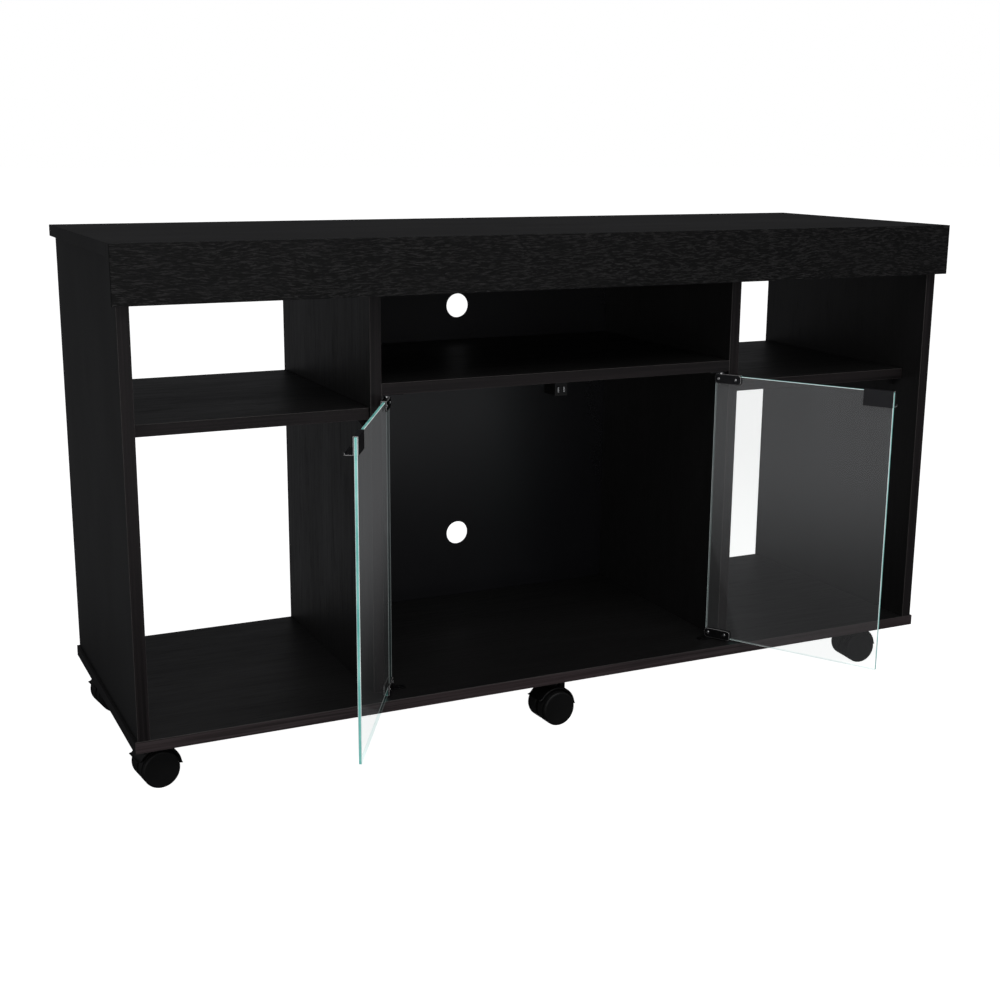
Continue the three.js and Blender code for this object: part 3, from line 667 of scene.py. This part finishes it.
def board(node, stem, laminate, bands, band=None, outer=0):
    """A board with its laminate, and a separate band on each banded edge."""
    low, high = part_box(node)
    for face in bands:
        axis, side = FACES[face]
        band_low, band_high = low.copy(), high.copy()
        if side:
            band_low[axis] = high[axis] = high[axis] - BAND
        else:
            band_high[axis] = low[axis] = low[axis] + BAND
        work = bmesh.new()
        box_into(work, band_low, band_high, BAND_ROUND, 2, rim_index=1)
        foil = (band or BANDS[long_axis(band_low, band_high)]) if face == "front" else PLAIN
        # the front bands' rounded corners take a pale painted highlight; plain bands keep their own laminate
        corner_finish = foil if foil == PLAIN else BAND_CORNER_HIGHLIGHT
        piece(f"{stem}_{face}_band", work, "cabinet", [foil, corner_finish])
    work = bmesh.new()
    box_into(work, low, high, BOARD_ROUND, 2)
    finishes = [laminate]
    if outer:
        finishes.append(PLAIN)
        work.normal_update()
        for face in work.faces:
            if face.normal.x * outer > 0.9:
                face.material_index = 1
    return piece(f"{stem}_board", work, "cabinet", finishes, [node])


def boards():
    board("top_panel", "top", TOP, ["left", "right", "rear"])
    board("front_apron", "apron", EMBOSSED, ["left", "right"])
    # the bottom's front band is the brighter copy: painted floor light
    board("bottom_panel", "bottom", GRAIN["x"], ["left", "right", "front", "rear"],
          FLOOR_LIT_BAND)
    board("centre_shelf", "centre_shelf", GRAIN["x"], ["front"])
    for hand, side in (("left", -1), ("right", 1)):
        board(f"{hand}_side_panel", f"{hand}_side", GRAIN["z"], ["front", "rear"],
              outer=side)
        board(f"{hand}_partition", f"{hand}_partition", GRAIN["z"], ["front"])
        board(f"{hand}_shelf", f"{hand}_shelf", GRAIN["x"], ["front", "rear"])


def back_sheet():
    """The thin back, with its round cable holes and the screws along its rim."""
    low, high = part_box("back_panel")
    openings = {o["name"]: o["box_m"] for o in frame["record"]["physics"]["openings"]}
    holes = []
    for name in ("niche_cable_hole", "compartment_cable_hole"):
        one, other = (Vector(corner) for corner in openings[name])
        middle = (one + other) / 2
        holes.append(arc((middle.x, middle.z), CABLE_HOLE_RADIUS, 360, 0, 64)[:-1])

    # screws along the rim sit in clearance holes, on the boards' rear edges
    inset = 7.5 * MM
    rows, columns = 6, 5
    heads = []
    for i in range(rows):
        z = low.z + inset + (high.z - low.z - 2 * inset) * i / (rows - 1)
        heads += [(x, z) for x in (low.x + inset, high.x - inset)]
    for i in range(1, columns - 1):
        x = low.x + inset + (high.x - low.x - 2 * inset) * i / (columns - 1)
        heads += [(x, z) for z in (low.z + inset, high.z - inset)]
    holes += [arc(head, SCREW_HOLE_RADIUS, 360, 0, 20)[:-1] for head in heads]
    spots = [((x, low.y, z), (0, 1, 0)) for x, z in heads]
    screws("back_sheet_screws", "cabinet", spots, 3.2 * MM, 2.3 * MM, BRIGHT_PLATE, 3)

    outline = rounded_outline((low.x, low.z), (high.x, high.z), 1.5 * MM, 4)
    work = bmesh.new()
    extrude_into(work, [outline, *holes], low.y, high.y, UPRIGHT)
    for face in work.faces:
        if abs(face.normal.y) < 0.5:
            face.material_index = 1
    piece("back_sheet", work, "cabinet", [HARDBOARD, RAW_FIBRE], ["back_panel"])


def underside_screws():
    """Assembly screws up through the bottom panel into the side panels and partitions."""
    low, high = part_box("bottom_panel")
    depth = high.y - low.y
    spots = []
    for node in ("left_side_panel", "left_partition", "right_partition", "right_side_panel"):
        wall_low, wall_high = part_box(node)
        x = (wall_low.x + wall_high.x) / 2
        spots += [((x, low.y + depth * share, low.z), (0, 0, -1)) for share in (0.16, 0.5, 0.84)]
    screws("bottom_panel_screws", "cabinet", spots, 4.6 * MM, 0.8 * MM, BLACK_PLATE, 5)


# ---------------------------------------------------------------- glass doors


def door_place(hand):
    """From a closed door's own frame, whose z axis is the pivot line, to the open door."""
    joint = joints[f"{hand}_door_hinge"]
    closing = math.radians(max(joint["range_deg"], key=abs))
    return Matrix.Translation(joint["pos_m"]) @ Matrix.Rotation(-closing, 4, "Z")


def glass_pane(hand, place):
    """The pane, with its ground edge and a chamfer round each face."""
    low, high = local_box(f"{hand}_door_glass", place)
    work = bmesh.new()
    outline = rounded_outline((low.x, low.z), (high.x, high.z), 1.2 * MM, 4)
    inner = rounded_outline((low.x + PANE_ARRIS, low.z + PANE_ARRIS),
                            (high.x - PANE_ARRIS, high.z - PANE_ARRIS), 0.6 * MM, 4)
    rings = [(inner, low.y), (outline, low.y + PANE_ARRIS), (outline, high.y - PANE_ARRIS), (inner, high.y)]
    verts = [[work.verts.new(UPRIGHT @ Vector((*point, y))) for point in loop] for loop, y in rings]
    work.faces.new(verts[0])
    work.faces.new(verts[-1][::-1])
    count = len(outline)
    for part, (one, other) in enumerate(zip(verts, verts[1:])):
        for i in range(count):
            j = (i + 1) % count
            rim = work.faces.new((one[i], one[j], other[j], other[i]))
            rim.material_index = 1 if part == 1 else 2
    bmesh.ops.recalc_face_normals(work, faces=work.faces)
    piece(f"{hand}_glass_pane", work, f"{hand}_door", [PANE, PANE_CORE, PANE_BEVEL],
          [f"{hand}_door_glass"], place)


def clamp(hand, end, side, place):
    """Pivot clamp: a steel channel over the glass, its liner, screws and pin."""
    body = f"{hand}_door"
    stem = f"{hand}_door_{end}"
    low, high = local_box(f"{stem}_clamp", place)
    pane_low, pane_high = local_box(f"{hand}_door_glass", place)
    socket_low, socket_high = local_box(f"{stem}_socket", place)
    out = 1 if end == "upper" else -1
    glass_z = pane_high.z if out > 0 else pane_low.z
    cap = glass_z + out * 1.8 * MM
    lip = cap - out * 13.5 * MM
    inner_x, outer_x = low.x, high.x
    corner = 4.0 * MM

    # the channel's two jaws, and the bridge that joins them past the pane's edge
    z_low, z_high = min(cap, lip), max(cap, lip)
    outline = rounded_outline((inner_x, z_low), (outer_x, z_high), corner, 8)
    work = bmesh.new()
    pane_y = (pane_low.y + pane_high.y) / 2
    half_pane = (pane_high.y - pane_low.y) / 2
    half_clamp = (high.y - low.y) / 2 if (high.y - low.y) < 9 * MM else 4 * MM
    groove = half_pane + 0.25 * MM
    for sign in (-1, 1):
        jaw = sorted((pane_y + sign * groove, pane_y + sign * half_clamp))
        extrude_into(work, [outline], jaw[0], jaw[1], UPRIGHT)
    bridge = sorted((glass_z + out * 0.25 * MM, cap))
    box_into(work, (inner_x + corner * 0.35, pane_y - half_clamp + 0.3 * MM, bridge[0]),
             (outer_x - corner * 0.35, pane_y + half_clamp - 0.3 * MM, bridge[1]))
    # the channel's rounded arrises take the pale steel: a painted highlight
    piece(f"{stem}_clamp_body", work, body, [BLACK_PLATE, CUT_ENDS_AND_HIGHLIGHT], [f"{stem}_clamp"],
          place, rounding=0.5 * MM, steps=2, rim=1)

    # the liner shows past the jaws all round, but for the side next to the board
    shown, hidden = 0.4 * MM, 0.2 * MM
    liner_low, liner_high = (z_low - shown, z_high - hidden) if out > 0 else (z_low + hidden, z_high + shown)
    work = bmesh.new()
    liner = rounded_outline((inner_x - shown, liner_low), (outer_x + shown, liner_high), corner, 8)
    for sign in (-1, 1):
        strip = sorted((pane_y + sign * half_pane, pane_y + sign * groove))
        extrude_into(work, [liner], strip[0], strip[1], UPRIGHT)
    piece(f"{stem}_clamp_liner", work, body, [RUBBER], (), place)

    # the pin and its bearing shoulder, from the cap into the socket
    flange_z = socket_low.z if out > 0 else socket_high.z
    reach = abs((high.z if out > 0 else low.z) - cap)
    gap = abs(flange_z - cap) - 0.3 * MM
    profile = [(0, -0.5 * MM), (4.0 * MM, -0.5 * MM), (4.0 * MM, gap - 0.4 * MM), (3.6 * MM, gap),
               (2.0 * MM, gap), (2.0 * MM, reach - 0.5 * MM), (1.5 * MM, reach), (0, reach)]
    work = bmesh.new()
    lathe_into(work, profile, Matrix.Translation((0, 0, cap)) @ Matrix.Diagonal((1, 1, out, 1)), 32)
    piece(f"{stem}_pivot_pin", work, body, [BRIGHT_PLATE], (), place)

    # two clamp screws on the inner side, one near each end of the channel
    middle_z = cap - out * 7.2 * MM
    spots = []
    for along in (5.0 * MM, 31.0 * MM):
        x = (high.x - along) if side > 0 else (low.x + along)
        spots.append(((x, pane_y + half_clamp - 0.1 * MM, middle_z), (0, 1, 0)))
    turned = [(place @ Vector(spot), place.to_3x3() @ Vector(way)) for spot, way in spots]
    screws(f"{stem}_clamp_screws", body, turned, 2.5 * MM, 1.0 * MM, BRIGHT_PLATE, 7)


def hinge_socket(hand, end, side):
    """The flanged bush in the board that the pivot pin turns in, with its fixing screw."""
    node = f"{hand}_door_{end}_socket"
    low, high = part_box(node)
    pivot = Vector(joints[f"{hand}_door_hinge"]["pos_m"])
    into = 1 if end == "upper" else -1
    face = low.z if into > 0 else high.z
    thickness = 1.2 * MM
    work = bmesh.new()
    outline = rounded_outline((low.x, low.y), (high.x, high.y), 3 * MM, 8)
    bore = arc((pivot.x, pivot.y), 2.25 * MM, 360, 0, 32)[:-1]
    extrude_into(work, [outline, bore], *sorted((face, face + into * thickness)))
    bush = [(2.25 * MM, -0.25 * MM), (3.6 * MM, -0.25 * MM), (3.9 * MM, 0.05 * MM), (4.5 * MM, 0.6 * MM),
            (4.5 * MM, 8 * MM), (2.25 * MM, 8 * MM), (2.25 * MM, -0.25 * MM)]
    place = Matrix.Translation((pivot.x, pivot.y, face)) @ Matrix.Diagonal((1, 1, into, 1))
    lathe_into(work, bush, place, 32)
    piece(f"{hand}_door_{end}_bush", work, "cabinet", [BLACK_PLATE], [node],
          rounding=0.2 * MM, steps=2)
    x = pivot.x - side * 13.5 * MM
    screws(f"{hand}_door_{end}_bush_screw", "cabinet",
           [((x, pivot.y, face + into * 0.5 * MM), (0, 0, -into))], 2.6 * MM, 0.8 * MM, SMOKED_PLATE, 9)


def strike_clip(hand, place):
    """Folded steel clip over the pane's free top corner, its finger lip and its bare cut ends."""
    node = f"{hand}_strike_clip"
    work = cad_copy(node)
    work.transform(place.inverted())
    work.normal_update()
    for face in work.faces:
        face.material_index = 1 if abs(face.normal.x) > 0.9 else 0
    piece(f"{hand}_finger_clip", work, f"{hand}_door", [PAINTED_SHEET, CUT_ENDS_AND_HIGHLIGHT],
          [node], place, rounding=FINE, steps=3)


def doors():
    for hand, side in (("left", -1), ("right", 1)):
        place = door_place(hand)
        glass_pane(hand, place)
        for end in ("lower", "upper"):
            clamp(hand, end, side, place)
            hinge_socket(hand, end, side)
        strike_clip(hand, place)


def catch():
    """Magnetic catch: a moulded housing with two steel poles."""
    piece("catch_case", cad_copy("catch_housing"), "cabinet", [BLACK_PLASTIC],
          ["catch_housing"], rounding=0.6 * MM, steps=3)
    for hand in ("left", "right"):
        piece(f"catch_{hand}_strip", cad_copy(f"catch_pole_{hand}"), "cabinet",
              [BRIGHT_PLATE], [f"catch_pole_{hand}"], rounding=0.25 * MM, steps=2)


def shelf_supports():
    for hand in ("left", "right"):
        for row in ("front", "rear"):
            for wall in ("outer", "inner"):
                node = f"{hand}_shelf_pin_{row}_{wall}"
                piece(f"{hand}_shelf_support_{row}_{wall}", cad_copy(node), "cabinet",
                      [BLACK_PLASTIC], [node], rounding=0.35 * MM, steps=2)


# ---------------------------------------------------------------- casters


def caster_place(spot):
    """From a caster's own frame, with the swivel axis z and the axle towards -x, to where it is."""
    swivel = joints[f"{spot}_swivel_turn"]["pos_m"]
    axle = joints[f"{spot}_near_wheel_spin"]["axis"]
    return Matrix.Translation(swivel) @ Matrix.Rotation(math.atan2(-axle[0], axle[1]), 4, "Z")


def caster_wheel(spot, label, place):
    """A wheel with a blind axle bore, a groove round its tread and a slightly dished face."""
    node = f"{spot}_{label}_wheel"
    low, high = local_box(node, place)
    radius = (high.z - low.z) / 2
    width = high.y - low.y
    outward = -1 if label == "near" else 1
    middle = ((low.x + high.x) / 2, low.y if outward > 0 else high.y, (low.z + high.z) / 2)
    profile = [(0, 15 * MM), (2.75 * MM, 15 * MM), (2.75 * MM, 0), (radius - 1.6 * MM, 0)]
    profile += [(radius - 1.6 * MM + r, h) for r, h in
                [(1.6 * MM * math.sin(a), 1.6 * MM * (1 - math.cos(a))) for a in
                 [math.radians(t) for t in (18, 36, 54, 72, 90)]]]
    rim = 2.5 * MM
    groove = width - 7.4 * MM
    profile += [(radius, groove), (radius - 2.4 * MM, groove + 0.2 * MM),
                (radius - 2.4 * MM, groove + 3.2 * MM), (radius, groove + 3.4 * MM)]
    profile += [(radius - rim + rim * math.cos(a), width - rim + rim * math.sin(a)) for a in
                [math.radians(t) for t in (0, 15, 30, 45, 60, 75, 90)]]
    profile += [(radius * 0.7, width - 0.25 * MM), (0, width - 0.3 * MM)]
    turn = Matrix(((1, 0, 0, 0), (0, 0, outward, 0), (0, 1, 0, 0), (0, 0, 0, 1)))
    work = bmesh.new()
    lathe_into(work, profile, Matrix.Translation(middle) @ turn, 72)
    piece(f"{spot}_{label}_twin_wheel", work, f"{spot}_{label}_roller",
          [WHEEL_PLASTIC], [node], place)


def caster_hood(spot, place):
    """The swivelling hood over both wheels, its web with the hub and axle, and its neck."""
    node = f"{spot}_caster_hood"
    top = local_box(node, place)[1].z
    near_low, near_high = local_box(f"{spot}_near_wheel", place)
    far_low = local_box(f"{spot}_far_wheel", place)[0]
    axle = Vector(((near_low.x + near_high.x) / 2, 0, (near_low.z + near_high.z) / 2))
    radius = (near_high.z - near_low.z) / 2
    inner, outer = radius + 1.5 * MM, radius + 4.8 * MM
    front_tip, rear_tip = outer + 1.5 * MM, outer + 3.7 * MM
    start, end, flare = 1, 154, 10
    half = 16.5 * MM
    centre = (axle.x, axle.z)
    arch = arc(centre, outer, start + flare, end - flare, 40)
    lead = arc(centre, outer + 0.3 * MM, start + flare * 0.45, start + flare * 0.45, 1)[:1]
    trail = arc(centre, outer + 0.9 * MM, end - flare * 0.45, end - flare * 0.45, 1)[:1]
    outline = (arc(centre, front_tip, start, start, 1)[:1] + lead + arch + trail
               + arc(centre, rear_tip, end, end, 1)[:1] + arc(centre, inner, end - 2, start + 2, 44))
    upright = Matrix(((1, 0, 0, 0), (0, 0, -1, 0), (0, 1, 0, 0), (0, 0, 0, 1)))
    work = bmesh.new()
    extrude_into(work, [outline], -half, half, upright)
    piece(f"{spot}_hood_shell", work, f"{spot}_swivel", [HOOD_PLASTIC],
          [node], place, rounding=0.8 * MM, steps=3)

    work = bmesh.new()
    gap = (far_low.y - near_high.y) / 2
    web_half = gap - 0.5 * MM
    fan = [centre] + arc(centre, inner + 1.2 * MM, start + 3, end - 3, 40)
    extrude_into(work, [fan], -web_half, web_half, upright)
    hub = arc(centre, 7 * MM, 0, 360, 32)[:-1]
    extrude_into(work, [hub], -web_half, web_half, upright)
    reach = near_high.y - 14.4 * MM
    pin = arc(centre, 2.5 * MM, 0, 360, 24)[:-1]
    extrude_into(work, [pin], reach, -reach, upright)
    piece(f"{spot}_hood_web", work, f"{spot}_swivel", [HOOD_PLASTIC], (), place,
          rounding=0.3 * MM, steps=2)

    work = bmesh.new()
    foot = axle.z + 21 * MM
    neck = [(0, foot), (5.0 * MM, foot), (5.0 * MM, top - 0.5 * MM), (4.6 * MM, top), (3.3 * MM, top),
            (3.3 * MM, top - 9.6 * MM), (0, top - 9.6 * MM)]
    lathe_into(work, neck, Matrix.Identity(4), 40)
    piece(f"{spot}_hood_neck", work, f"{spot}_swivel", [HOOD_PLASTIC], (), place)


def caster_mount(spot):
    """The plate under the cabinet with its stem, and the four screws that hold it."""
    node = f"{spot}_caster_mount"
    piece(f"{spot}_mount_plate", cad_copy(node), "cabinet", [BLACK_PLATE], [node],
          rounding=FINE, steps=2)
    low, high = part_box(node)
    middle = (low + high) / 2
    plate_low = high.z - 2 * MM
    spread = 13 * MM
    spots = [((middle.x + i * spread, middle.y + j * spread, plate_low), (0, 0, -1))
             for i in (-1, 1) for j in (-1, 1)]
    screws(f"{spot}_mount_screws", "cabinet", spots, 3.4 * MM, 1.4 * MM, BRIGHT_PLATE, 11)


def casters():
    for row in ("front", "rear"):
        for column in ("left", "centre", "right"):
            spot = f"{row}_{column}"
            place = caster_place(spot)
            for label in ("near", "far"):
                caster_wheel(spot, label, place)
            caster_hood(spot, place)
            caster_mount(spot)


# ---------------------------------------------------------------- studio


def share_of_white(nodes, amount, kind="ShaderNodeEmission"):
    """Light given off: this share of full white."""
    none = nodes.add(kind, {}, {"Strength": 0.0})
    full = nodes.add(kind, {}, {"Color": grey(1.0, 0.99, 1.04), "Strength": 1.0})
    return nodes.add("ShaderNodeMixShader", {}, {0: amount, 1: none, 2: full})


def studio_floor():
    """A plain pale floor: white to the eye, and mostly dark to what mirrors it."""

    def pale(nodes):
        grain = nodes.noise(nodes.places((3, 3, 3)), 1.0, 2.0)
        matt = nodes.add("ShaderNodeBsdfPrincipled", {}, {
            "Base Color": nodes.tint(grain, grey(0.88), grey(0.90)), "Roughness": 1.0,
            "Specular IOR Level": 0.0})
        lit = nodes.add("ShaderNodeEmission", {}, {"Color": grey(1.0), "Strength": 1.02})
        both = nodes.add("ShaderNodeAddShader", {}, {0: matt, 1: lit})
        own = nodes.add("ShaderNodeTexCoord", output="Object")
        across = nodes.part(own, 0)
        depth = nodes.part(own, 1)
        sheen = nodes.step(0 - depth, 1.0, 1.7) * (1 - nodes.step(0 - depth, 2.0, 2.4))
        sheen = sheen * (1 - nodes.step(across, 0.7, 1.5) * 0.75) * 0.85
        beside = nodes.step(nodes.maths("ABSOLUTE", across), 0.62, 1.0)
        beside = beside * (1 - nodes.step(nodes.maths("ABSOLUTE", depth), 0.25, 0.5))
        away = nodes.step(depth, 0.3, 0.8) * 0.085 + sheen + beside * 0.26 + 0.03
        dim = share_of_white(nodes, away)
        mirrored = share_of_white(nodes, 0.22 + nodes.step(0 - across, 0.2, 1.4) * 0.40)
        sharp = nodes.add("ShaderNodeLightPath", output="Is Singular Ray")
        seen = nodes.add("ShaderNodeLightPath", output="Is Camera Ray")
        other = nodes.add("ShaderNodeMixShader", {}, {0: sharp, 1: dim, 2: mirrored})
        shown = nodes.add("ShaderNodeMixShader", {}, {0: seen, 1: other, 2: both})
        nodes.add("ShaderNodeOutputMaterial", {}, {"Surface": shown})

    reach = 40.0
    mesh = bpy.data.meshes.new("studio_floor")
    mesh.from_pydata([(-reach, -reach, 0), (reach, -reach, 0), (reach, reach, 0), (-reach, reach, 0)], [],
                     [(0, 1, 2, 3)])
    mesh.materials.append(finish("pale_floor", pale))
    made = bpy.data.objects.new("studio_floor", mesh)
    scene.collection.objects.link(made)


def studio_air():
    """White to the eye; a dim room, brighter overhead and on each side, to what mirrors it."""
    world = bpy.data.worlds.new("studio")
    scene.world = world
    world.use_nodes = True
    nodes = Nodes(world.node_tree)
    way = nodes.add("ShaderNodeTexCoord", output="Generated")
    height = nodes.part(way, 2)
    depth = nodes.part(way, 1)
    sharp = nodes.add("ShaderNodeLightPath", output="Is Singular Ray")
    across = nodes.part(way, 0)
    beside = nodes.step(nodes.maths("ABSOLUTE", across), 0.75, 0.97)
    behind = nodes.step(depth, 0.1, 0.8)
    ahead = nodes.step(0 - depth, 0.2, 0.9)
    glow = 0.026 + nodes.step(height, -0.1, 0.9) * 0.03
    glow = glow + behind * 0.05 + ahead * 0.11 + beside * 0.05
    glow = glow + sharp * 0.50
    room = share_of_white(nodes, glow, "ShaderNodeBackground")
    white = nodes.add("ShaderNodeBackground", {}, {"Color": grey(1.0), "Strength": 1.0})
    seen = nodes.add("ShaderNodeLightPath", output="Is Camera Ray")
    shown = nodes.add("ShaderNodeMixShader", {}, {0: seen, 1: room, 2: white})
    nodes.add("ShaderNodeOutputWorld", {}, {"Surface": shown})


def softbox(name, place, target, size, power):
    light = bpy.data.lights.new(name, "AREA")
    light.shape = "RECTANGLE"
    light.size, light.size_y = size
    light.energy = power
    made = bpy.data.objects.new(name, light)
    made.location = place
    made.rotation_euler = (Vector(target) - Vector(place)).to_track_quat("-Z", "Y").to_euler()
    scene.collection.objects.link(made)


def studio_lights():
    middle = (cad_low + cad_high) / 2
    softbox("left_softbox", (-2.3, -2.7, 0.6), middle, (1.8, 1.2), 6)
    softbox("front_softbox", (-0.9, -3.5, 1.0), middle, (1.6, 0.9), 4)
    softbox("overhead_softbox", (-0.2, -1.5, 2.6), middle, (2.6, 1.6), 18)


def place_camera():
    """Standing to the left of the middle, a little above the top, looking slightly down."""
    front_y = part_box("left_side_panel")[0].y
    yaw, pitch, roll = 0.44756, -0.22806, 0.00768
    ahead = Vector((math.sin(yaw) * math.cos(pitch), math.cos(yaw) * math.cos(pitch), math.sin(pitch)))
    right = Vector((math.cos(yaw), -math.sin(yaw), 0))
    up = right.cross(ahead)
    across = right * math.cos(roll) + up * math.sin(roll)
    upward = up * math.cos(roll) - right * math.sin(roll)
    lens = bpy.data.cameras.new("camera")
    lens.lens, lens.sensor_width = 52.70, 36.0
    lens.shift_x, lens.shift_y = 0.0021, -0.0180
    lens.clip_start, lens.clip_end = 0.05, 200
    made = bpy.data.objects.new("camera", lens)
    turn = Matrix((across, upward, -ahead)).transposed().to_4x4()
    made.matrix_world = Matrix.Translation((-0.91558, front_y - 1.66835, 0.78384)) @ turn
    scene.collection.objects.link(made)
    scene.camera = made
    scene.view_settings.view_transform = "Standard"


boards()
back_sheet()
underside_screws()
doors()
catch()
shelf_supports()
casters()
studio_floor()
studio_air()
studio_lights()
place_camera()
